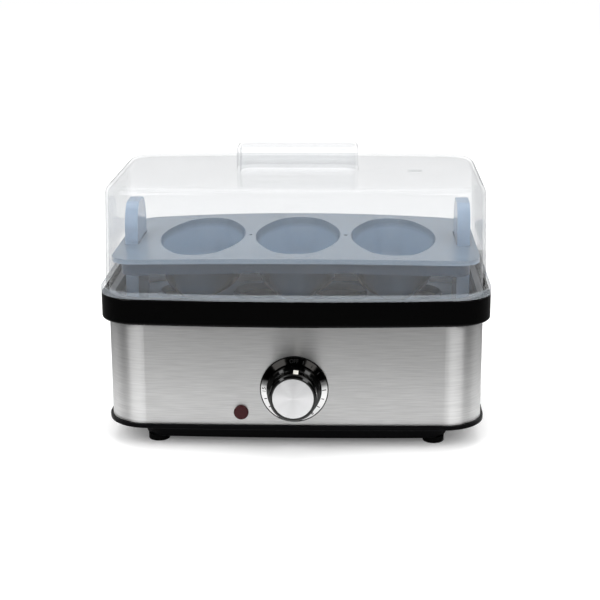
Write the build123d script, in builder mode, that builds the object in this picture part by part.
from build123d import *
from math import atan2, degrees, hypot, radians, tan
import os

# Countertop egg cooker: a steel-clad base with a rotary timer and a heated water bowl. An egg rack
# stands in the bowl, a poaching tray stands on the rack's handles, and a clear lid covers both.
# Millimetres. The origin is on the table, under the middle of the whole object, knob included.
# +X is to the user's right, -Y is towards the user and +Z is up.

# ---------------------------------------------------------------- plan shapes
rim_width = 240.0  # the widest ring; its outline also shapes the lid and the tray
rim_depth = 148.9  # at the middle of the bowed long sides
rim_corner = 24.0
rim_bow = 7.0  # how far the long sides bulge between their ends
band_side_inset = 4.35  # steel wall, in from the rim at the short sides
band_front_inset = 4.15  # and at the middle of the long sides
band_corner_step = 1.0  # the steel's corners are rounder than the rim's by this
band_bow_share = 0.36  # the steel is flatter than the rim: its share of the rim's bulge
slide_fit = 0.2  # gap on each side of a part that slips into or over another
seat_gap = 0.08  # behind a flat piece on the bowed steel

# ---------------------------------------------------------------- heights
foot_height = 4.0
pan_drop = 9.1  # lower pan, below the base's flange
flange_thickness = 2.9
steel_reveal = 63.1  # steel that shows between base flange and rim
rim_height = 16.3
rim_roof = 4.0  # solid top of the rim, which stands on the steel's upper edge
ledge_depth = 23.9  # from the rim's top down to the ledge in the bowl
water_depth = 11.7  # from that ledge down to the bowl's floor
tray_rise = 25.0  # tray's top above the rim
lid_rise = 67.4  # lid's flat top above the rim
grip_rise = 16.4  # grip's top above the lid's flat top

# ---------------------------------------------------------------- base
foot_radius = 6.65
foot_plug_radius = 3.0
foot_head_radius = 4.0
foot_head_height = 1.2
foot_edge = 0.9
foot_end_inset = 7.3  # from the pan's lower edge to the middle of a foot
foot_side_inset = 9.5
flange_step = 1.7  # base flange, out from the steel
pan_end_inset = 17.2  # pan's upper edge, in from the steel, at the short sides
pan_side_inset = 5.3
pan_corner = 18.0
pan_draft = 26.0  # degrees, the pan narrows downwards
pan_wall = 2.0
base_edge = 0.8
rib_height = 2.5  # rib inside the steel's lower edge
rib_wall = 1.5
vent_count = 9
vent_pitch = 8.0
vent_width = 3.0
vent_length = 34.0

# ---------------------------------------------------------------- steel wall, rim, bowl
band_wall = 0.8
rim_wall = 1.2
rim_lip = 2.2  # turned-in lower edge of the rim
rim_rib = 2.0  # rim's inner wall, behind the steel
rim_lower_edge = 1.5
rim_upper_edge = 0.8
bowl_wall = 0.8
bowl_fit = 0.3
bowl_flange = 3.0  # how far the bowl's flange reaches over the rim
seal_thickness = 0.8
ledge_width = 12.0
bowl_floor_radius = 5.0
ledge_radius = 1.6

# ---------------------------------------------------------------- posts, screws, studs
post_radius = 3.5
post_spread = 76.0  # between the posts at one end
post_thread_depth = 14.0
screw_radius = 1.45
screw_clearance = 0.05
screw_length = 12.0
screw_head_radius = 2.9
screw_head_height = 1.5
head_recess = 1.6
stud_radius = 2.0
nut_width = 7.0  # across flats
nut_height = 3.2
stud_spare = 2.0  # thread below the nut

# ---------------------------------------------------------------- heater and cut-outs
heater_radius = 3.25
heater_half_length = 62.0
heater_half_width = 34.0
heater_bend = 26.0
heater_tail = 10.0
heater_tail_gap = 12.0  # half of the distance between the tails
heater_tail_bend = 8.0
pin_radius = 1.6
pin_length = 7.0
clamp_width = 12.0
clamp_thickness = 1.5
clamp_overhang = 6.0  # past the heater's runs
thermostat_radius = 8.0
thermostat_height = 9.5
thermostat_y = 18.0
strap_width = 6.0
strap_thickness = 1.0
strap_stud_step = 18.0  # from the thermostat's middle to its stud
strap_overhang = 6.0
strap_tail = 4.0  # past the thermostat's middle on its far side
spacer_radius = 4.0
spacer_gap = 4.75  # to the heater's end run
tab_width = 6.0
tab_thickness = 0.8
tab_length = 7.0
blade_step = 5.5  # thermostat's blades, from its middle
fuse_length = 32.0
fuse_start = 14.0  # from the middle of the bowl
fuse_fit = 0.1

# ---------------------------------------------------------------- timer and knob
knob_rise = 23.5  # knob's axis above the steel's lower edge
bezel_radius = 20.95
bezel_depth = 2.6
bezel_pocket_radius = 14.4
bezel_pocket_depth = 1.3
dial_border = 0.55  # black edge of the bezel that shows round the dial ring
dial_inner_radius = 16.8
dial_slope = 27.0  # degrees, the ring's face falls away outwards
dial_thickness = 0.35
spigot_radius = 6.0
spigot_wall = 2.4
knob_reach = 19.4  # front of the knob, out from the steel
knob_gap = 0.3
skirt_radius = 16.3
skirt_depth = 4.6
knob_radius = 14.9
knob_front_radius = 14.4
knob_edge = 1.0
knob_wall = 2.2
hub_radius = 5.4
bore_depth = 11.0
cap_radius = 12.4
cap_thickness = 1.0
cap_fit = 0.1
cap_ring = 0.35  # how far the knob's black edge stands proud of the cap
marker_width = 3.0
marker_length = 6.5
marker_inlay = 0.8
marker_turn = 6.0  # degrees clockwise from the top, as the timer stands when it has run down
shaft_radius = 3.0
shaft_flat = 0.6
running_fit = 0.05
journal_radius = 2.0
cam_radius = 11.0
cam_thickness = 3.0
cam_notch = 3.0
cam_place = 7.0  # from the timer's plate to the cam
panel_gap = 0.15  # between the steel's inner face and the timer's plate
timer_width = 44.0
timer_height = 34.0
timer_depth = 24.0
timer_wall = 1.5
timer_plate_thickness = 1.2
timer_plate_step = 1.0
timer_screw_spread = 22.4
timer_screw_length = 3.4
timer_head_radius = 2.7
timer_head_height = 1.1
spring_start = 14.0  # from the timer's plate to the mainspring
spring_width = 5.0
spring_turns = 5
spring_pitch = 1.5
spring_strip = 0.5
spring_inner_radius = 4.0
contact_spread = 26.0
contact_drop = 9.0
contact_tail = 8.0
contact_start = 6.0
bell_radius = 9.0
bell_depth = 6.0
bell_wall = 0.8
bell_edge = 2.0
bell_lift = 2.0
bell_post_radius = 1.6
bell_gap = 1.0

# ---------------------------------------------------------------- indicator lamp
lens_x = -32.7
lens_rise = 8.3  # above the steel's lower edge
lens_radius = 4.55
lens_dome = 1.6
lens_edge = 0.9
barrel_radius = 3.7
barrel_wall = 1.0
barrel_length = 10.0
retainer_radius = 5.4
retainer_thickness = 0.8
lamp_radius = 2.5
lamp_length = 10.0
lamp_fit = 0.2

# ---------------------------------------------------------------- cord bush and terminal block
gland_rise = 14.0  # above the steel's lower edge
gland_bore = 3.6
gland_body = 5.3
gland_flange = 6.6
gland_outer_depth = 2.2
gland_inner_depth = 1.6
gland_sleeve = 6.0
gland_fit = 0.05
block_x = 50.0
block_y = 26.0
block_width = 32.0
block_depth = 18.0
block_height = 13.0
pole_pitch = 10.0
pole_screw_radius = 2.0
pole_screw_depth = 4.0
lead_radius = 1.2
lead_run = 12.0  # straight run where a lead leaves its terminal
lead_share = 0.45  # of the shorter run beside a bend, taken by the bend
lead_level = 30.0  # where most leads cross the base
lamp_lead_spread = 2.6

# ---------------------------------------------------------------- egg rack
rack_gap = 1.0
rack_thickness = 2.0
egg_columns = 4
egg_rows = 2
egg_end_gap = 5.9  # from the last collar to the handle
egg_pitch_y = 58.0
egg_hole_radius = 18.0
egg_collar_wall = 1.6
egg_collar_height = 3.0
steam_hole_radius = 4.0
handle_inset = 2.05  # handle's outer face, in from the rack's edge
handle_thickness = 8.0
handle_width = 40.0
handle_top_width = 18.0
handle_shoulder = 3.0
handle_rise = 22.9  # above the tray
handle_arch = 15.3  # height of the arched shoulders
handle_bulge = 0.14  # of the arch, as a share of its chord
handle_corner = 3.0

# ---------------------------------------------------------------- poaching tray
tray_end_gap = 1.8  # to the lid's inner wall
tray_side_gap = 0.85
tray_corner = 17.0
tray_bow = 6.4
tray_crown = 2.6  # the tray's ends droop by this
tray_plate = 1.6
tray_lip = 3.0
tray_wall = 1.6
cup_count = 3
cup_length = 110.0
cup_gap = 3.8  # between two cups, outside
cup_end_gap = 8.4  # from the last cup to the slot's collar
cup_depth = 30.0
cup_end_radius = 17.0  # in plan, at the cup's two ends
cup_draft = 9.0  # degrees
cup_wall = 1.4
cup_floor_radius = 9.0
slot_fit = 0.5
collar_wall = 2.0
collar_drop = 3.4  # collar's lower face, below the tray's top at the slot
drip_hole_radius = 1.4

# ---------------------------------------------------------------- lid
lid_wall = 1.8
lid_step = 3.0  # flange, out from the wall
lid_flange_height = 4.0
lid_draft = 1.58  # degrees
lid_shoulder = 6.0
flange_edge = 0.8
lug_length = 20.0  # lugs under the lid's flange, one in the middle of each side
lug_thickness = 1.2
lug_depth = 2.0
lug_inset = 2.2  # middle of a lug, in from the flange's edge
lug_fit = 0.3
grip_length = 76.5
grip_depth = 36.0
grip_corner = 10.0
grip_edge = 2.5
grip_foot = 1.0
grip_draft = 1.5
steam_slot_x = 74.0
steam_slot_length = 9.0
steam_slot_width = 3.0

# ---------------------------------------------------------------- worked out
housing_y = (knob_reach - band_front_inset) / 2  # middle of the housing, behind the origin
band_width = rim_width - 2 * band_side_inset
band_depth = rim_depth - 2 * band_front_inset
rim_plan = (rim_width, rim_depth, rim_corner, rim_bow)
band_plan = (band_width, band_depth, rim_corner + band_corner_step, rim_bow * band_bow_share)
pan_plan = (
    band_width - 2 * pan_end_inset,
    band_depth - 2 * pan_side_inset,
    pan_corner,
    rim_bow * band_bow_share,
)

rack_inset = band_side_inset + band_wall + slide_fit + rim_rib + bowl_fit + bowl_wall + rack_gap
handle_x = rim_width / 2 - rack_inset - handle_inset - handle_thickness / 2
handle_inside = handle_x - handle_thickness / 2
egg_pitch_x = 2 * (handle_inside - egg_end_gap - egg_collar_wall - egg_hole_radius) / (egg_columns - 1)
cups_end = handle_inside - slot_fit - collar_wall - cup_end_gap
cup_pitch = (2 * cups_end + cup_gap) / cup_count
cup_width = cup_pitch - cup_gap - 2 * cup_wall
thermostat_x = (
    heater_half_length - heater_radius - spacer_gap - spacer_radius - strap_stud_step
)

flange_z = foot_height + pan_drop
band_z = flange_z + flange_thickness
rim_z = band_z + steel_reveal
rim_top = rim_z + rim_height
band_top = rim_top - rim_roof
ledge_z = rim_top - ledge_depth
bowl_under = ledge_z - water_depth - bowl_wall
tray_top = rim_top + tray_rise
lid_top = rim_top + lid_rise
knob_z = band_z + knob_rise
lens_z = band_z + lens_rise
gland_z = band_z + gland_rise

rim_rib_inset = band_wall + slide_fit
rim_opening_inset = rim_rib_inset + rim_rib
bowl_inset = rim_opening_inset + bowl_fit
bowl_flange_inset = bowl_inset - bowl_flange
pool_inset = bowl_inset + ledge_width
lid_inset = lid_step + lid_wall
lid_lean = (tray_rise + tray_lip) * tan(radians(lid_draft))  # lid's wall leans in this far at the tray
tray_plan = (
    rim_width - 2 * (lid_inset + lid_lean + tray_end_gap),
    rim_depth - 2 * (lid_inset + lid_lean + tray_side_gap),
    tray_corner,
    tray_bow,
)


def level(height):
    """Plane parallel to the table at this height, centred on the housing."""
    return Plane((0, housing_y, height))


def under(height):
    """The same, facing down."""
    return Plane(origin=(0, housing_y, height), x_dir=(1, 0, 0), z_dir=(0, 0, -1))


def front_face(x):
    """Distance from the housing's middle to the steel's outer face at this place along the front."""
    return band_depth / 2 - rim_bow * band_bow_share * (2 * x / band_width) ** 2


def facing(x, height, forward=0.0):
    """Plane facing the user on the steel's front, moved forward from it."""
    return Plane(
        origin=(x, housing_y - front_face(x) - forward, height), x_dir=(1, 0, 0), z_dir=(0, -1, 0)
    )


def backing(x, height):
    """Plane facing away from the user on the steel's rear."""
    return Plane(
        origin=(x, housing_y + front_face(x), height), x_dir=(-1, 0, 0), z_dir=(0, 1, 0)
    )


def crosswise(x):
    """Plane across the housing at this x: local x runs to the rear, local y is the height."""
    return Plane(origin=(x, housing_y, 0), x_dir=(0, 1, 0), z_dir=(1, 0, 0))


def turned(x, height):
    """Plane for turned profiles on the front: local x is the radius, local y points to the user."""
    return Plane(
        origin=(x, housing_y - front_face(x), height), x_dir=(1, 0, 0), z_dir=(0, 0, -1)
    )


def turning_axis(x, height):
    """Axis of a turned part on the front."""
    return Axis((x, housing_y - front_face(x), height), (0, -1, 0))


def outline(plane, plan, grow=0.0):
    """Rounded rectangle with bowed long sides; grow moves its whole edge outwards."""
    width, depth, corner, bow = plan
    with BuildSketch(plane) as shape:
        with BuildLine():
            front = ThreePointArc(
                (-width / 2, bow - depth / 2), (0, -depth / 2), (width / 2, bow - depth / 2)
            )
            side = Line(front @ 1, (width / 2, depth / 2 - bow))
            rear = ThreePointArc(side @ 1, (0, depth / 2), (-width / 2, depth / 2 - bow))
            Line(rear @ 1, front @ 0)
        make_face()
        fillet(shape.vertices(), corner)
        if grow:
            offset(amount=grow)
    return shape.sketch


def at_height(height):
    """Keeps the edges that lie at this height."""
    return lambda edge: abs(edge.bounding_box().min.Z - height) + abs(
        edge.bounding_box().max.Z - height
    ) < 0.01


def dome(base, height, inset, shoulder):
    """Tapered block with a rounded shoulder, whose foot follows the rim's outline."""
    with BuildPart() as block:
        extrude(outline(level(base), rim_plan, -inset), amount=height, taper=lid_draft)
        fillet(block.edges().filter_by(at_height(base + height)), shoulder)
    return block.part


def basin(bottom, height, inset, floor_radius):
    """Block with a rounded lower edge, whose outline follows the steel's."""
    with BuildPart() as block:
        extrude(outline(level(bottom), band_plan, -inset), amount=height)
        fillet(block.edges().filter_by(at_height(bottom)), floor_radius)
    return block.part


def crowned(inset, upper, lower):
    """Slice of the tray's outline between two depths below its crowned top surface."""
    half = tray_plan[0] / 2
    with BuildPart() as slice_:
        with BuildSketch(facing(0, 0, rim_depth)):
            with BuildLine():
                top = ThreePointArc(
                    (-half, tray_top - tray_crown - upper),
                    (0, tray_top - upper),
                    (half, tray_top - tray_crown - upper),
                )
                Line(top @ 1, top @ 1 - (0, lower - upper))
                bottom = ThreePointArc(
                    (half, tray_top - tray_crown - lower),
                    (0, tray_top - lower),
                    (-half, tray_top - tray_crown - lower),
                )
                Line(bottom @ 1, top @ 0)
            make_face()
        extrude(amount=-3 * rim_depth)
        extrude(outline(level(0), tray_plan, -inset), amount=lid_top, mode=Mode.INTERSECT)
    return slice_.part


def cup(grow, floor_radius):
    """One oval cup as a solid, from the tray's highest level down; grow moves its wall outwards."""
    half_width, half_length = cup_width / 2 + grow, cup_length / 2 + grow
    end_radius = cup_end_radius + grow
    reach = half_length - end_radius
    side_radius = (half_width**2 + reach**2 - end_radius**2) / (2 * (half_width - end_radius))
    swing = degrees(atan2(reach, side_radius - half_width))
    with BuildPart() as bowl:
        with BuildSketch(under(tray_top)):
            with BuildLine():
                CenterArc((half_width - side_radius, 0), side_radius, -swing, 2 * swing)
                CenterArc((0, reach), end_radius, swing, 180 - 2 * swing)
                CenterArc((side_radius - half_width, 0), side_radius, 180 - swing, 2 * swing)
                CenterArc((0, -reach), end_radius, 180 + swing, 180 - 2 * swing)
            make_face()
        extrude(amount=cup_depth + grow, taper=cup_draft)
        fillet(bowl.edges().filter_by(at_height(tray_top - cup_depth - grow)), floor_radius)
    return bowl.part


def lead(*points):
    """Insulated wire: straight runs, joined by arcs as wide as the runs beside them allow."""
    corners = [Vector(x, y + housing_y, z) for x, y, z in points]
    bends = []
    for before, corner, after in zip(corners, corners[1:], corners[2:]):
        run = min((corner - before).length, (after - corner).length)
        turn = (corner - before).get_angle(after - corner)
        bends.append(lead_share * run / tan(radians(turn / 2)))
    with BuildPart() as wire:
        with BuildLine() as route:
            FilletPolyline(*corners, radius=bends)
        with BuildSketch(Plane(origin=route.line @ 0, z_dir=route.line % 0)):
            Circle(lead_radius)
        sweep()
    return wire.part


def finish(part, name):
    """Names a finished piece and writes it."""
    part.label = name
    export_step(part, f"parts/{name}.step")


os.makedirs("parts", exist_ok=True)

# ================================================================ base pan
post_x = band_width / 2 - bowl_inset - ledge_width / 2
with BuildPart() as base_pan:
    extrude(outline(level(flange_z), band_plan, flange_step), amount=flange_thickness)
    fillet(base_pan.edges().filter_by(at_height(flange_z)), base_edge)
    extrude(outline(level(band_z), band_plan, -rim_rib_inset), amount=rib_height)
    extrude(
        outline(level(band_z), band_plan, -rim_rib_inset - rib_wall),
        amount=rib_height,
        mode=Mode.SUBTRACT,
    )
    extrude(outline(under(flange_z), pan_plan), amount=pan_drop, taper=pan_draft)
    fillet(base_pan.edges().filter_by(at_height(foot_height)), base_edge)
    extrude(
        outline(under(band_z), pan_plan, -pan_wall), amount=flange_thickness, mode=Mode.SUBTRACT
    )
    extrude(
        outline(under(flange_z), pan_plan, -pan_wall),
        amount=pan_drop - pan_wall,
        taper=pan_draft,
        mode=Mode.SUBTRACT,
    )
    pan_bottom = base_pan.faces().sort_by(Axis.Z)[0].bounding_box()
    foot_pitch_x = pan_bottom.size.X - 2 * foot_end_inset
    foot_pitch_y = pan_bottom.size.Y - 2 * foot_side_inset
    with BuildSketch(level(foot_height)):
        with GridLocations(foot_pitch_x, foot_pitch_y, 2, 2):
            Circle(foot_plug_radius + running_fit)
        with GridLocations(vent_pitch, 0, vent_count, 1):
            SlotOverall(vent_length, vent_width, rotation=90)
    extrude(amount=pan_wall, mode=Mode.SUBTRACT)
    with BuildSketch(level(flange_z)):
        with GridLocations(2 * post_x, post_spread, 2, 2):
            Circle(screw_radius + screw_clearance)
    extrude(amount=flange_thickness, mode=Mode.SUBTRACT)
    with BuildSketch(level(flange_z)):
        with GridLocations(2 * post_x, post_spread, 2, 2):
            Circle(screw_head_radius + slide_fit)
    extrude(amount=head_recess, mode=Mode.SUBTRACT)
finish(base_pan.part, "base_pan")

# ================================================================ feet
with BuildPart() as feet:
    with BuildSketch(level(0)):
        with GridLocations(foot_pitch_x, foot_pitch_y, 2, 2):
            Circle(foot_radius)
    extrude(amount=foot_height)
    fillet(feet.edges().filter_by(at_height(0)), foot_edge)
    with BuildSketch(level(foot_height)):
        with GridLocations(foot_pitch_x, foot_pitch_y, 2, 2):
            Circle(foot_plug_radius)
    extrude(amount=pan_wall)
    with BuildSketch(level(foot_height + pan_wall)):
        with GridLocations(foot_pitch_x, foot_pitch_y, 2, 2):
            Circle(foot_head_radius)
    extrude(amount=foot_head_height)
finish(feet.part, "feet")

# ================================================================ steel wall
with BuildPart() as steel_band:
    extrude(outline(level(band_z), band_plan), amount=band_top - band_z)
    extrude(
        outline(level(band_z), band_plan, -band_wall), amount=band_top - band_z, mode=Mode.SUBTRACT
    )
    with BuildSketch(facing(0, knob_z, 1)):
        Circle(spigot_radius + slide_fit)
        with GridLocations(timer_screw_spread, 0, 2, 1):
            Circle(screw_radius + screw_clearance)
    extrude(amount=-band_wall - 2, mode=Mode.SUBTRACT)
    with BuildSketch(facing(lens_x, lens_z, 1)):
        Circle(barrel_radius + slide_fit)
    extrude(amount=-band_wall - 2, mode=Mode.SUBTRACT)
    with BuildSketch(backing(0, gland_z)):
        Circle(gland_body + gland_fit)
    extrude(amount=-band_wall - 1, both=True, mode=Mode.SUBTRACT)
finish(steel_band.part, "steel_band")

# ================================================================ rim
lug_x = rim_width / 2 - lug_inset
lug_y = rim_depth / 2 - lug_inset
with BuildPart() as rim:
    extrude(outline(level(rim_z), rim_plan), amount=rim_height)
    fillet(rim.edges().filter_by(at_height(rim_z)), rim_lower_edge)
    fillet(rim.edges().filter_by(at_height(rim_top)), rim_upper_edge)
    extrude(
        outline(level(rim_z + rim_lip), rim_plan, -rim_wall),
        amount=band_top - rim_z - rim_lip,
        mode=Mode.SUBTRACT,
    )
    extrude(
        outline(level(rim_z), band_plan, slide_fit), amount=rim_lip, mode=Mode.SUBTRACT
    )
    extrude(outline(level(rim_z), band_plan, -rim_rib_inset), amount=band_top - rim_z)
    extrude(
        outline(level(rim_z), band_plan, -rim_opening_inset),
        amount=rim_height,
        mode=Mode.SUBTRACT,
    )
    extrude(
        outline(
            level(rim_top - bowl_wall - seal_thickness), band_plan, slide_fit - bowl_flange_inset
        ),
        amount=bowl_wall + seal_thickness,
        mode=Mode.SUBTRACT,
    )
    with BuildSketch(level(rim_top)):
        with GridLocations(2 * lug_x, 0, 2, 1):
            Rectangle(lug_thickness + 2 * lug_fit, lug_length + 2 * lug_fit)
        with GridLocations(0, 2 * lug_y, 1, 2):
            Rectangle(lug_length + 2 * lug_fit, lug_thickness + 2 * lug_fit)
    extrude(amount=-lug_depth - lug_fit, mode=Mode.SUBTRACT)
finish(rim.part, "rim")

# ================================================================ bowl seal
with BuildPart() as bowl_seal:
    extrude(
        outline(level(rim_top - bowl_wall - seal_thickness), band_plan, -bowl_flange_inset),
        amount=seal_thickness,
    )
    extrude(
        outline(level(rim_top - bowl_wall - seal_thickness), band_plan, -bowl_inset),
        amount=seal_thickness,
        mode=Mode.SUBTRACT,
    )
finish(bowl_seal.part, "bowl_seal")

# ================================================================ heating bowl
pool_outside = basin(bowl_under, water_depth, pool_inset, bowl_floor_radius)
pool_inside = basin(
    bowl_under + bowl_wall, water_depth, pool_inset + bowl_wall, bowl_floor_radius - bowl_wall
)
with BuildPart() as heating_bowl:
    add(pool_outside)
    extrude(
        outline(level(ledge_z - bowl_wall), band_plan, -bowl_inset), amount=ledge_depth + bowl_wall
    )
    extrude(
        outline(level(rim_top - bowl_wall), band_plan, -bowl_flange_inset), amount=bowl_wall
    )
    extrude(
        outline(level(ledge_z), band_plan, -bowl_inset - bowl_wall),
        amount=ledge_depth,
        mode=Mode.SUBTRACT,
    )
    add(pool_inside, mode=Mode.SUBTRACT)
finish(heating_bowl.part, "heating_bowl")

# ================================================================ posts and case screws
with BuildPart() as tie_posts:
    with BuildSketch(level(band_z)):
        with GridLocations(2 * post_x, post_spread, 2, 2):
            Circle(post_radius)
    extrude(amount=ledge_z - bowl_wall - band_z)
    with BuildSketch(level(band_z)):
        with GridLocations(2 * post_x, post_spread, 2, 2):
            Circle(screw_radius + screw_clearance)
    extrude(amount=post_thread_depth, mode=Mode.SUBTRACT)
finish(tie_posts.part, "tie_posts")

with BuildPart() as case_screws:
    with BuildSketch(level(flange_z + head_recess - screw_head_height)):
        with GridLocations(2 * post_x, post_spread, 2, 2):
            Circle(screw_head_radius)
    extrude(amount=screw_head_height)
    with BuildSketch(level(flange_z + head_recess)):
        with GridLocations(2 * post_x, post_spread, 2, 2):
            Circle(screw_radius)
    extrude(amount=screw_length)
finish(case_screws.part, "case_screws")

# ================================================================ heating element
heater_z = bowl_under - heater_radius - running_fit
tail_end = heater_half_width + heater_tail
with BuildPart() as heating_element:
    with BuildLine(level(heater_z)) as heater_path:
        FilletPolyline(
            (-heater_tail_gap, tail_end),
            (-heater_tail_gap, heater_half_width),
            (-heater_half_length, heater_half_width),
            (-heater_half_length, -heater_half_width),
            (heater_half_length, -heater_half_width),
            (heater_half_length, heater_half_width),
            (heater_tail_gap, heater_half_width),
            (heater_tail_gap, tail_end),
            radius=[heater_tail_bend] + 4 * [heater_bend] + [heater_tail_bend],
        )
    with BuildSketch(Plane(origin=heater_path.line @ 0, z_dir=heater_path.line % 0)):
        Circle(heater_radius)
    sweep()
    tail_plane = Plane(
        origin=(0, housing_y + tail_end, heater_z), x_dir=(1, 0, 0), z_dir=(0, 1, 0)
    )
    with BuildSketch(tail_plane):
        with GridLocations(2 * heater_tail_gap, 0, 2, 1):
            Circle(pin_radius)
    extrude(amount=pin_length)
finish(heating_element.part, "heating_element")

# ================================================================ clamp, studs, nuts
clamp_z = heater_z - heater_radius - clamp_thickness
with BuildPart() as element_clamp:
    with BuildSketch(level(clamp_z)):
        SlotOverall(2 * (heater_half_length + clamp_overhang), clamp_width)
        Circle(stud_radius + slide_fit, mode=Mode.SUBTRACT)
    extrude(amount=clamp_thickness)
finish(element_clamp.part, "element_clamp")

strap_z = bowl_under - thermostat_height - strap_thickness
strap_length = strap_stud_step + strap_overhang + strap_tail
strap_stud_x = thermostat_x + strap_stud_step
stud_spots = [((0, 0), clamp_z), ((strap_stud_x, thermostat_y), strap_z)]
with BuildPart() as bowl_studs:
    for spot, seat in stud_spots:
        with BuildSketch(level(seat - nut_height - stud_spare)):
            with Locations(spot):
                Circle(stud_radius)
        extrude(amount=bowl_under - seat + nut_height + stud_spare)
finish(bowl_studs.part, "bowl_studs")

with BuildPart() as stud_nuts:
    for spot, seat in stud_spots:
        with BuildSketch(level(seat - nut_height)):
            with Locations(spot):
                RegularPolygon(nut_width / 2, 6, major_radius=False)
                Circle(stud_radius + screw_clearance, mode=Mode.SUBTRACT)
        extrude(amount=nut_height)
finish(stud_nuts.part, "stud_nuts")

# ================================================================ thermostat and fuse
with BuildPart() as thermostat:
    with BuildSketch(level(bowl_under - thermostat_height)):
        with Locations((thermostat_x, thermostat_y)):
            Circle(thermostat_radius)
    extrude(amount=thermostat_height)
    with BuildSketch(level(bowl_under - thermostat_height)):
        with Locations((thermostat_x, thermostat_y)):
            with GridLocations(0, 2 * blade_step, 1, 2):
                Rectangle(tab_width, tab_thickness)
    extrude(amount=-tab_length)
finish(thermostat.part, "thermostat")

with BuildPart() as thermostat_strap:
    with BuildSketch(level(strap_z)):
        with Locations((strap_stud_x + strap_overhang - strap_length / 2, thermostat_y)):
            SlotOverall(strap_length, strap_width)
        with Locations((strap_stud_x, thermostat_y)):
            Circle(stud_radius + slide_fit, mode=Mode.SUBTRACT)
    extrude(amount=strap_thickness)
finish(thermostat_strap.part, "thermostat_strap")

with BuildPart() as thermostat_spacer:
    with BuildSketch(level(bowl_under - thermostat_height)):
        with Locations((strap_stud_x, thermostat_y)):
            Circle(spacer_radius)
            Circle(stud_radius + slide_fit, mode=Mode.SUBTRACT)
    extrude(amount=thermostat_height)
finish(thermostat_spacer.part, "thermostat_spacer")

with BuildPart() as thermal_fuse:
    with BuildSketch(crosswise(-fuse_start)):
        with Locations((0, heater_z)):
            Circle(heater_radius - fuse_fit)
    extrude(amount=-fuse_length)
finish(thermal_fuse.part, "thermal_fuse")

# ================================================================ timer
plate_front = -band_wall - panel_gap
plate_back = plate_front - timer_plate_thickness
with BuildPart() as timer_plate:
    with BuildSketch(facing(0, knob_z, plate_back)):
        RectangleRounded(
            timer_width + 2 * timer_plate_step, timer_height + 2 * timer_plate_step, timer_wall
        )
        Circle(shaft_radius + running_fit, mode=Mode.SUBTRACT)
        with GridLocations(timer_screw_spread, 0, 2, 1):
            Circle(screw_radius + screw_clearance, mode=Mode.SUBTRACT)
    extrude(amount=timer_plate_thickness)
finish(timer_plate.part, "timer_plate")

with BuildPart() as timer_screws:
    with BuildSketch(facing(0, knob_z)):
        with GridLocations(timer_screw_spread, 0, 2, 1):
            Circle(timer_head_radius)
    extrude(amount=timer_head_height)
    with BuildSketch(facing(0, knob_z)):
        with GridLocations(timer_screw_spread, 0, 2, 1):
            Circle(screw_radius)
    extrude(amount=-timer_screw_length)
finish(timer_screws.part, "timer_screws")

with BuildPart() as timer_case:
    with BuildSketch(facing(0, knob_z, plate_back)):
        RectangleRounded(timer_width, timer_height, timer_wall)
    extrude(amount=-timer_depth)
    with BuildSketch(facing(0, knob_z, plate_back)):
        Rectangle(timer_width - 2 * timer_wall, timer_height - 2 * timer_wall)
    extrude(amount=timer_wall - timer_depth, mode=Mode.SUBTRACT)
    with BuildSketch(facing(0, knob_z, plate_back - timer_depth)):
        Circle(journal_radius + running_fit)
        with Locations((0, -contact_drop)):
            with GridLocations(contact_spread, 0, 2, 1):
                Rectangle(tab_width + slide_fit, tab_thickness + slide_fit)
        with Locations((0, bell_lift)):
            with GridLocations(2 * (journal_radius + bell_post_radius + 1), 0, 2, 1):
                Circle(bell_post_radius + running_fit)
    extrude(amount=timer_wall, mode=Mode.SUBTRACT)
finish(timer_case.part, "timer_case")

with BuildPart() as timer_spring:
    with BuildSketch(facing(0, knob_z, plate_back - spring_start)):
        with BuildLine():
            reach = spring_inner_radius
            centre = 0.0
            for half_turn in range(2 * spring_turns):
                side = 1 if half_turn % 2 == 0 else -1
                CenterArc((centre, 0), reach, 0 if side > 0 else 180, 180)
                reach += spring_pitch / 2
                centre += side * spring_pitch / 2
            outer_end = centre + reach - spring_pitch
            Line((outer_end, 0), (outer_end, timer_height / 2 - timer_wall))
        trace(line_width=spring_strip)
    extrude(amount=-spring_width)
finish(timer_spring.part, "timer_spring")

with BuildPart() as timer_contacts:
    with BuildSketch(facing(0, knob_z, plate_back - contact_start)):
        with Locations((0, -contact_drop)):
            with GridLocations(contact_spread, 0, 2, 1):
                Rectangle(tab_width, tab_thickness)
    extrude(amount=contact_start - timer_depth - contact_tail)
finish(timer_contacts.part, "timer_contacts")

bell_plane = plate_back - timer_depth - bell_gap
with BuildPart() as timer_bell:
    with BuildSketch(facing(0, knob_z + bell_lift, bell_plane)):
        Circle(bell_radius)
    extrude(amount=-bell_depth)
    fillet(timer_bell.edges().sort_by(Axis.Y)[-1], bell_edge)
    with BuildSketch(facing(0, knob_z + bell_lift, bell_plane)):
        Circle(bell_radius - bell_wall)
    extrude(amount=bell_wall - bell_depth, mode=Mode.SUBTRACT)
    with BuildSketch(facing(0, knob_z + bell_lift, bell_plane + bell_gap + timer_wall)):
        with GridLocations(2 * (journal_radius + bell_post_radius + 1), 0, 2, 1):
            Circle(bell_post_radius)
    extrude(amount=-bell_gap - timer_wall - bell_depth + bell_wall / 2)
finish(timer_bell.part, "timer_bell")

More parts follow.
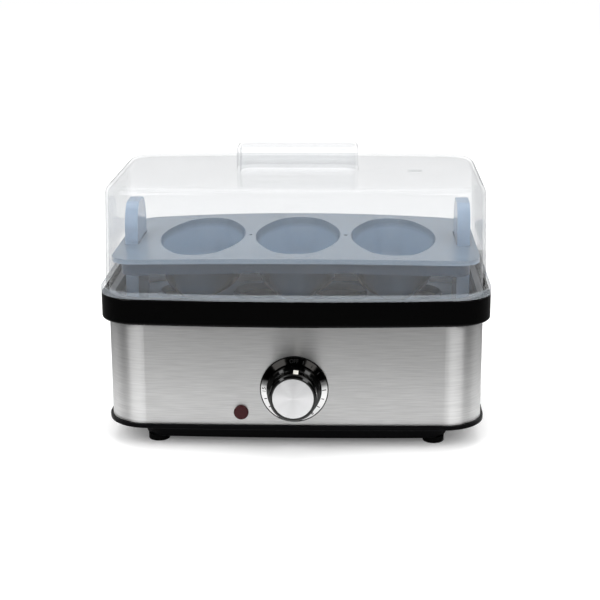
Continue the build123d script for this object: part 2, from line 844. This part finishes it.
with BuildPart() as timer_shaft:
    with BuildSketch(facing(0, knob_z, plate_back + timer_wall - timer_depth)):
        Circle(shaft_radius)
    extrude(amount=bezel_depth + knob_gap + bore_depth - plate_back - timer_wall + timer_depth)
    with BuildSketch(facing(0, knob_z, bezel_depth + knob_gap)):
        with Locations((0, shaft_radius)):
            Rectangle(2 * shaft_radius, 2 * shaft_flat)
    extrude(amount=bore_depth, mode=Mode.SUBTRACT)
    with BuildSketch(facing(0, knob_z, plate_back - timer_depth)):
        Circle(journal_radius)
    extrude(amount=timer_wall)
    with BuildSketch(facing(0, knob_z, plate_back - cam_place)):
        Circle(cam_radius)
        with Locations((0, cam_radius)):
            Circle(cam_notch, mode=Mode.SUBTRACT)
    extrude(amount=-cam_thickness)
finish(timer_shaft.part, "timer_shaft")

# ================================================================ bezel and knob
knob_axis = turning_axis(0, knob_z)
dial_outer_radius = bezel_radius - dial_border
dial_edge = bezel_depth - (dial_outer_radius - dial_inner_radius) * tan(radians(dial_slope))
with BuildPart() as dial_bezel:
    with BuildSketch(turned(0, knob_z)):
        with BuildLine():
            Polyline(
                (spigot_radius - spigot_wall, -band_wall),
                (spigot_radius, -band_wall),
                (spigot_radius, bezel_pocket_depth),
                (bezel_pocket_radius, bezel_pocket_depth),
                (bezel_pocket_radius, 0),
                (bezel_radius, 0),
                (bezel_radius, dial_edge),
                (dial_outer_radius, dial_edge),
                (dial_outer_radius, dial_edge - dial_thickness),
                (dial_inner_radius, bezel_depth - dial_thickness),
                (dial_inner_radius, bezel_depth),
                (spigot_radius - spigot_wall, bezel_depth),
                close=True,
            )
        make_face()
    revolve(axis=knob_axis)
finish(dial_bezel.part, "dial_bezel")

dial_rim_radius = dial_outer_radius - seat_gap
dial_hole_radius = dial_inner_radius + seat_gap
dial_rim_edge = dial_edge + seat_gap * tan(radians(dial_slope))
dial_hole_edge = bezel_depth - seat_gap * tan(radians(dial_slope))
with BuildPart() as dial_ring:  # bright cone with the minutes printed on it
    with BuildSketch(turned(0, knob_z)):
        with BuildLine():
            Polyline(
                (dial_rim_radius, dial_rim_edge),
                (dial_hole_radius, dial_hole_edge),
                (dial_hole_radius, dial_hole_edge - dial_thickness + seat_gap),
                (dial_rim_radius, dial_rim_edge - dial_thickness + seat_gap),
                close=True,
            )
        make_face()
    revolve(axis=knob_axis)
finish(dial_ring.part, "dial_ring")

knob_back = bezel_depth + knob_gap
cap_back = knob_reach - cap_ring - cap_thickness
with BuildPart() as knob_body:
    with BuildSketch(turned(0, knob_z)):
        with BuildLine():
            Polyline(
                (0, knob_back),
                (skirt_radius, knob_back),
                (skirt_radius, knob_back + skirt_depth),
                (knob_radius, knob_back + skirt_depth + skirt_radius - knob_radius),
                (knob_front_radius, knob_reach - knob_edge),
                (knob_front_radius - knob_edge, knob_reach),
                (cap_radius + cap_fit, knob_reach),
                (cap_radius + cap_fit, cap_back),
                (0, cap_back),
                close=True,
            )
        make_face()
    revolve(axis=knob_axis)
    with BuildSketch(facing(0, knob_z, knob_back)):
        Circle(knob_radius - knob_wall)
        Circle(hub_radius, mode=Mode.SUBTRACT)
    extrude(amount=bore_depth, mode=Mode.SUBTRACT)
    with BuildSketch(facing(0, knob_z, knob_back)):
        Circle(shaft_radius)
        with Locations((0, shaft_radius)):
            Rectangle(2 * shaft_radius, 2 * shaft_flat, mode=Mode.SUBTRACT)
    extrude(amount=bore_depth, mode=Mode.SUBTRACT)
    marker_plane = Plane(
        facing(0, knob_z, knob_back + skirt_depth + skirt_radius - knob_radius).location
        * Rotation(0, 0, -marker_turn)
        * Location((0, knob_radius - marker_inlay, marker_length / 2), (-90, 0, 0))
    )
    with BuildSketch(marker_plane):
        Rectangle(marker_width, marker_length)
    extrude(amount=2 * marker_inlay, mode=Mode.SUBTRACT)
finish(knob_body.part, "knob_body")

with BuildPart() as knob_marker:
    with BuildSketch(marker_plane):
        Rectangle(marker_width, marker_length)
    extrude(amount=marker_inlay)
finish(knob_marker.part, "knob_marker")

with BuildPart() as knob_cap:
    with BuildSketch(facing(0, knob_z, cap_back)):
        Circle(cap_radius)
    extrude(amount=cap_thickness)
finish(knob_cap.part, "knob_cap")

# ================================================================ indicator lamp
with BuildPart() as indicator_lens:
    with BuildSketch(facing(lens_x, lens_z, seat_gap)):
        Circle(lens_radius)
    extrude(amount=lens_dome)
    fillet(indicator_lens.edges().sort_by(Axis.Y)[0], lens_edge)
    with BuildSketch(facing(lens_x, lens_z, seat_gap)):
        Circle(barrel_radius)
    extrude(amount=-barrel_length - seat_gap)
    with BuildSketch(facing(lens_x, lens_z, -barrel_length)):
        Circle(barrel_radius - barrel_wall)
    extrude(amount=barrel_length, mode=Mode.SUBTRACT)
finish(indicator_lens.part, "indicator_lens")

with BuildPart() as lamp_retainer:
    with BuildSketch(facing(lens_x, lens_z, -band_wall - seat_gap)):
        Circle(retainer_radius)
        Circle(barrel_radius, mode=Mode.SUBTRACT)
    extrude(amount=-retainer_thickness)
finish(lamp_retainer.part, "lamp_retainer")

with BuildPart() as indicator_lamp:
    with BuildSketch(facing(lens_x, lens_z, -lamp_fit)):
        Circle(lamp_radius)
    extrude(amount=-lamp_length)
    fillet(indicator_lamp.edges().sort_by(Axis.Y)[0], lamp_radius / 2)
finish(indicator_lamp.part, "indicator_lamp")

# ================================================================ cord bush
with BuildPart() as cord_gland:
    with BuildSketch(backing(0, gland_z)):
        Circle(gland_flange)
    extrude(amount=gland_outer_depth)
    fillet(cord_gland.edges().sort_by(Axis.Y)[-1], base_edge)
    with BuildSketch(backing(0, gland_z)):
        Circle(gland_body)
    extrude(amount=-band_wall - gland_inner_depth - gland_sleeve)
    with BuildSketch(backing(0, gland_z).offset(-band_wall - seat_gap)):
        Circle(gland_flange)
    extrude(amount=-gland_inner_depth)
    with BuildSketch(backing(0, gland_z).offset(gland_outer_depth)):
        Circle(gland_bore)
    extrude(
        amount=-gland_outer_depth - band_wall - gland_inner_depth - gland_sleeve,
        mode=Mode.SUBTRACT,
    )
finish(cord_gland.part, "cord_gland")

# ================================================================ terminal block
block_floor = foot_height + pan_wall
block_top = block_floor + block_height
with BuildPart() as terminal_block:
    with BuildSketch(level(block_floor)):
        with Locations((block_x, block_y)):
            RectangleRounded(block_width, block_depth, tab_thickness)
    extrude(amount=block_height)
    with BuildSketch(level(block_top)):
        with Locations((block_x, block_y)):
            with GridLocations(pole_pitch, 0, 3, 1):
                Circle(pole_screw_radius)
    extrude(amount=-pole_screw_depth, mode=Mode.SUBTRACT)
finish(terminal_block.part, "terminal_block")

# ================================================================ inside wiring
tab_y = -front_face(0) - plate_back + timer_depth + contact_tail
tab_x = contact_spread / 2
tab_z = knob_z - contact_drop
blade_z = bowl_under - thermostat_height - tab_length
lamp_y = -front_face(lens_x) + lamp_fit + lamp_length
pole_y = block_y - block_depth / 2
pole_z = block_floor + block_height / 2
pin_y = tail_end + pin_length
rear_lane = (pin_y + front_face(0) - band_wall) / 2  # between the pins and the rear wall
stud_end = clamp_z - nut_height - stud_spare
fuse_end = -fuse_start - fuse_length
fuse_lane = (fuse_end - heater_half_length + heater_radius) / 2  # between fuse and heater

live_feed = lead(
    (block_x, pole_y, pole_z),
    (block_x, pole_y - lead_run, pole_z),
    (tab_x, tab_y + lead_run, tab_z),
    (tab_x, tab_y, tab_z),
)
thermostat_feed = lead(
    (-tab_x, tab_y, tab_z),
    (-tab_x, tab_y + lead_run, tab_z),
    (thermostat_x, thermostat_y - blade_step, blade_z - lead_run),
    (thermostat_x, thermostat_y - blade_step, blade_z),
)
fuse_feed = lead(
    (thermostat_x, thermostat_y + blade_step, blade_z),
    (thermostat_x, thermostat_y + blade_step, blade_z - lead_run),
    (-fuse_start / 2, thermostat_y, heater_z),
    (-fuse_start / 2, 0, heater_z),
    (-fuse_start, 0, heater_z),
)
heater_feed = lead(
    (fuse_end, 0, heater_z),
    (fuse_lane, 0, heater_z),
    (fuse_lane, lead_run, heater_z),
    (-heater_half_width, tail_end, heater_z - lead_run),
    (-heater_tail_gap, rear_lane, heater_z - lead_run),
    (-heater_tail_gap, rear_lane, heater_z),
    (-heater_tail_gap, pin_y, heater_z),
)
live_leads = Compound(children=[live_feed, thermostat_feed, fuse_feed, heater_feed])
finish(live_leads, "live_leads")

neutral_lead = lead(
    (block_x - pole_pitch, pole_y, pole_z),
    (block_x - pole_pitch, pole_y - lead_run, pole_z),
    (heater_tail_gap, pole_y + lead_run, lead_level),
    (heater_tail_gap, rear_lane, heater_z - lead_run),
    (heater_tail_gap, rear_lane, heater_z),
    (heater_tail_gap, pin_y, heater_z),
)
finish(neutral_lead, "neutral_lead")

earth_lead = lead(
    (block_x + pole_pitch, pole_y, pole_z),
    (block_x + pole_pitch, pole_y - lead_run, pole_z),
    (0, 0, stud_end - lead_run),
    (0, 0, stud_end),
)
finish(earth_lead, "earth_lead")

lamp_live = lead(
    (lens_x - lamp_lead_spread / 2, lamp_y, lens_z),
    (lens_x - lamp_lead_spread / 2, lamp_y + lead_run, lens_z),
    (-tab_x - tab_width / 2 - lead_run, tab_y - contact_tail / 2, tab_z),
    (-tab_x - tab_width / 2, tab_y - contact_tail / 2, tab_z),
)
lamp_neutral = lead(
    (lens_x + lamp_lead_spread / 2, lamp_y, lens_z),
    (lens_x + lamp_lead_spread / 2, lamp_y + 2 * lead_run, lens_z),
    (block_x - block_width / 2 - lead_run, block_y, pole_z),
    (block_x - block_width / 2, block_y, pole_z),
)
lamp_leads = Compound(children=[lamp_live, lamp_neutral])
finish(lamp_leads, "lamp_leads")

# ================================================================ egg rack
rack_top = ledge_z + rack_thickness
slot_x_drop = tray_crown * (2 * handle_x / tray_plan[0]) ** 2
shoulder_z = tray_top - slot_x_drop - collar_drop
handle_top = tray_top + handle_rise
half_handle = handle_width / 2
arch_sagitta = -handle_bulge * hypot(handle_arch, half_handle - handle_top_width / 2)
with BuildPart() as egg_rack:
    extrude(
        outline(level(ledge_z), band_plan, -bowl_inset - bowl_wall - rack_gap),
        amount=rack_thickness,
    )
    with BuildSketch(level(ledge_z)):
        with GridLocations(egg_pitch_x, egg_pitch_y, egg_columns, egg_rows):
            Circle(egg_hole_radius + egg_collar_wall)
    extrude(amount=rack_thickness + egg_collar_height)
    with BuildSketch(level(ledge_z)):
        with GridLocations(egg_pitch_x, egg_pitch_y, egg_columns, egg_rows):
            Circle(egg_hole_radius)
        with GridLocations(egg_pitch_x, 0, egg_columns - 1, 1):
            Circle(steam_hole_radius)
    extrude(amount=rack_thickness + egg_collar_height, mode=Mode.SUBTRACT)
    for side in (-1, 1):
        with BuildSketch(crosswise(side * handle_x)) as handle:
            with BuildLine():
                foot = Polyline(
                    (-half_handle, handle_top - handle_arch),
                    (-half_handle, shoulder_z),
                    (-half_handle - handle_shoulder, shoulder_z),
                    (-half_handle - handle_shoulder, ledge_z),
                    (half_handle + handle_shoulder, ledge_z),
                    (half_handle + handle_shoulder, shoulder_z),
                    (half_handle, shoulder_z),
                    (half_handle, handle_top - handle_arch),
                )
                right = SagittaArc(foot @ 1, (handle_top_width / 2, handle_top), arch_sagitta)
                top = Line(right @ 1, (-handle_top_width / 2, handle_top))
                SagittaArc(top @ 1, foot @ 0, arch_sagitta)
            make_face()
            fillet(handle.vertices().group_by(Axis.Y)[-1], handle_corner)
        extrude(amount=handle_thickness / 2, both=True)
finish(egg_rack.part, "egg_rack")

# ================================================================ poaching tray
tray_slab = crowned(0, 0, tray_lip)
tray_pocket = crowned(tray_wall, tray_plate, tray_lip)
tray_space = crowned(0, 0, cup_depth + tray_lip)
cup_outside = cup(cup_wall, cup_floor_radius + cup_wall)
cup_inside = cup(0, cup_floor_radius)
with BuildPart() as poaching_tray:
    add(tray_slab)
    add(tray_pocket, mode=Mode.SUBTRACT)
    with GridLocations(cup_pitch, 0, cup_count, 1):
        add(cup_outside)
    with BuildSketch(level(shoulder_z)):
        with GridLocations(2 * handle_x, 0, 2, 1):
            Rectangle(
                handle_thickness + 2 * (slot_fit + collar_wall),
                handle_width + 2 * (slot_fit + collar_wall),
            )
    extrude(amount=tray_top - shoulder_z)
    add(tray_space, mode=Mode.INTERSECT)
    with GridLocations(cup_pitch, 0, cup_count, 1):
        add(cup_inside, mode=Mode.SUBTRACT)
    with BuildSketch(level(shoulder_z)):
        with GridLocations(2 * handle_x, 0, 2, 1):
            Rectangle(handle_thickness + 2 * slot_fit, handle_width + 2 * slot_fit)
        with GridLocations(cup_pitch, 0, cup_count - 1, 1):
            Circle(drip_hole_radius)
    extrude(amount=tray_top - shoulder_z, mode=Mode.SUBTRACT)
finish(poaching_tray.part, "poaching_tray")

# ================================================================ lid
lid_outside = dome(rim_top, lid_rise, lid_step, lid_shoulder)
lid_inside = dome(rim_top, lid_rise - lid_wall, lid_inset, lid_shoulder - lid_wall)
with BuildPart() as lid:
    add(lid_outside)
    with BuildSketch(level(lid_top)):
        RectangleRounded(grip_length, grip_depth, grip_corner)
    extrude(amount=grip_rise, taper=grip_draft)
    fillet(lid.edges().filter_by(at_height(lid_top + grip_rise)), grip_edge)
    grip_root = lid.edges().filter_by(at_height(lid_top)).filter_by_position(
        Axis.X, -grip_length / 2, grip_length / 2
    )
    fillet(grip_root.filter_by(lambda edge: edge.length < grip_length), grip_foot)
    with BuildSketch(level(rim_top)):
        with GridLocations(2 * lug_x, 0, 2, 1):
            Rectangle(lug_thickness, lug_length)
        with GridLocations(0, 2 * lug_y, 1, 2):
            Rectangle(lug_length, lug_thickness)
    extrude(amount=-lug_depth)
    extrude(outline(level(rim_top), rim_plan), amount=lid_flange_height)
    add(lid_inside, mode=Mode.SUBTRACT)
    with BuildSketch(level(lid_top - lid_wall - 1)):
        RectangleRounded(
            grip_length - 2 * lid_wall, grip_depth - 2 * lid_wall, grip_corner - lid_wall
        )
    extrude(amount=grip_rise + 1, taper=grip_draft, mode=Mode.SUBTRACT)
    with BuildSketch(level(lid_top)):
        with Locations((steam_slot_x, 0)):
            SlotOverall(steam_slot_length, steam_slot_width)
    extrude(amount=-2 * lid_wall, mode=Mode.SUBTRACT)
finish(lid.part, "lid")
